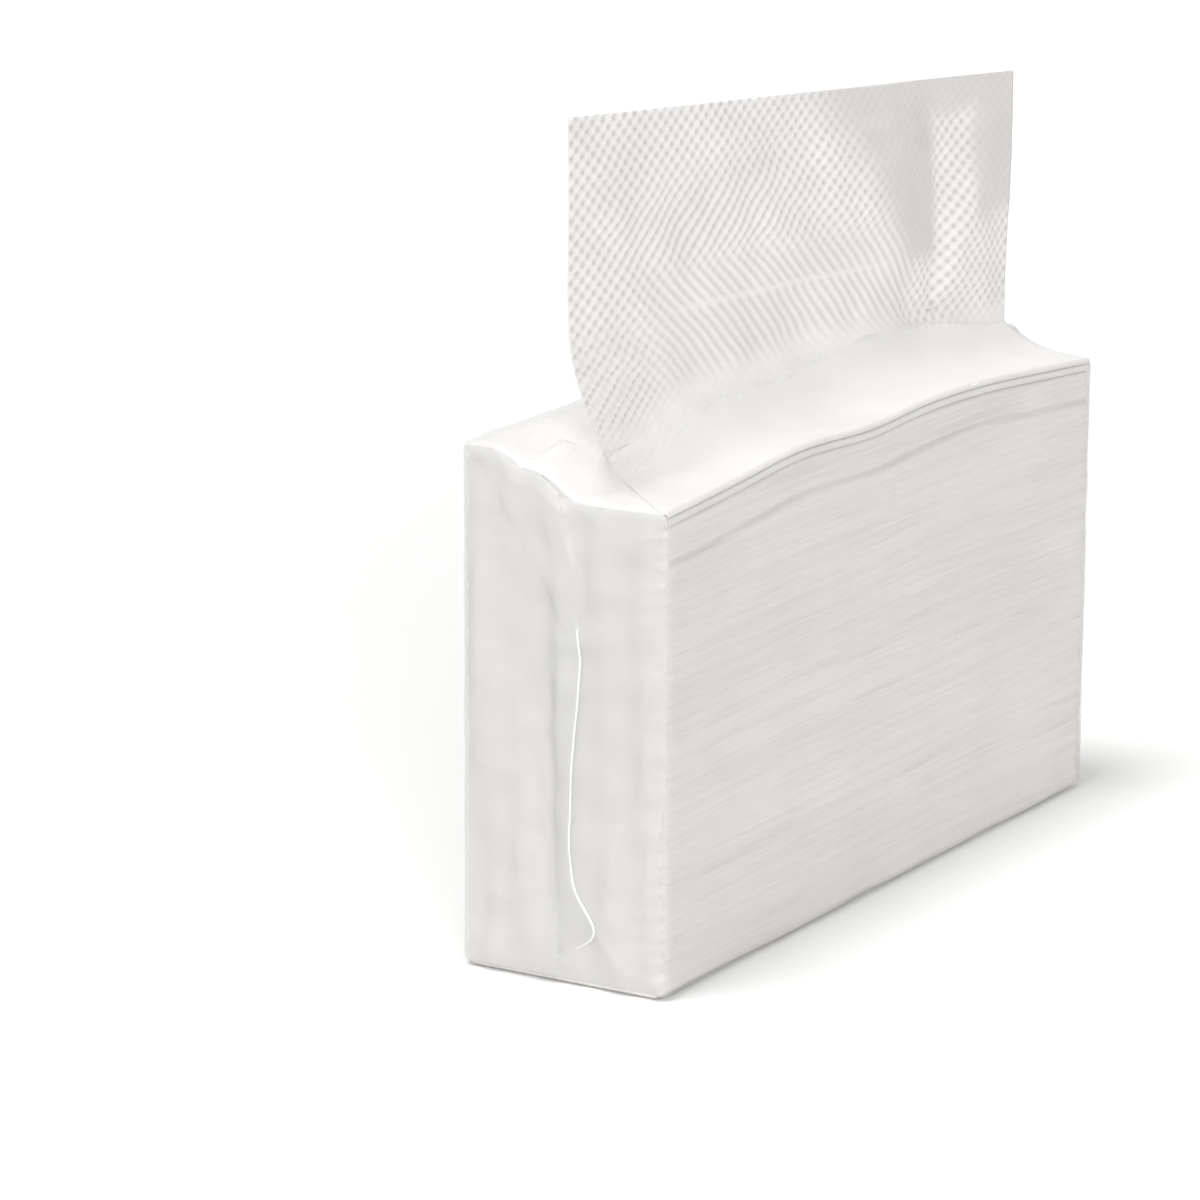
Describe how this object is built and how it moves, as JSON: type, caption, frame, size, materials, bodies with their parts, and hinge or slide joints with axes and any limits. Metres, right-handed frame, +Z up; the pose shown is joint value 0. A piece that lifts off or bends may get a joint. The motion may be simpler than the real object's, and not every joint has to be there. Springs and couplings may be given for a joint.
{
  "type": "interfolded paper towel pack",
  "caption": "Film-wrapped pack of interfolded paper towels, opened along the top, with one embossed towel pulled up ready to take.",
  "frame": {"origin": "centre of the pack's underside, on the surface that it stands on", "axes": "+X along the long side towards the end where the slit reaches the end wall, +Y towards the higher back side, +Z up"},
  "size_m": [0.2266, 0.058, 0.2099],
  "materials": {
    "clear_film": "thin clear polyethylene film, soft gloss, creased at the folded ends",
    "stacked_tissue": "matte white tissue seen edge-on as a stack of folds",
    "tissue_sheet": "matte white soft tissue",
    "embossed_sheet": "matte white soft tissue with a small diamond emboss"
  },
  "bodies": {
    "root": {"film_wrapper": "clear_film", "towel_stack": "stacked_tissue", "next_towel": "tissue_sheet", "raised_towel": "embossed_sheet"}
  },
  "joints": []
}
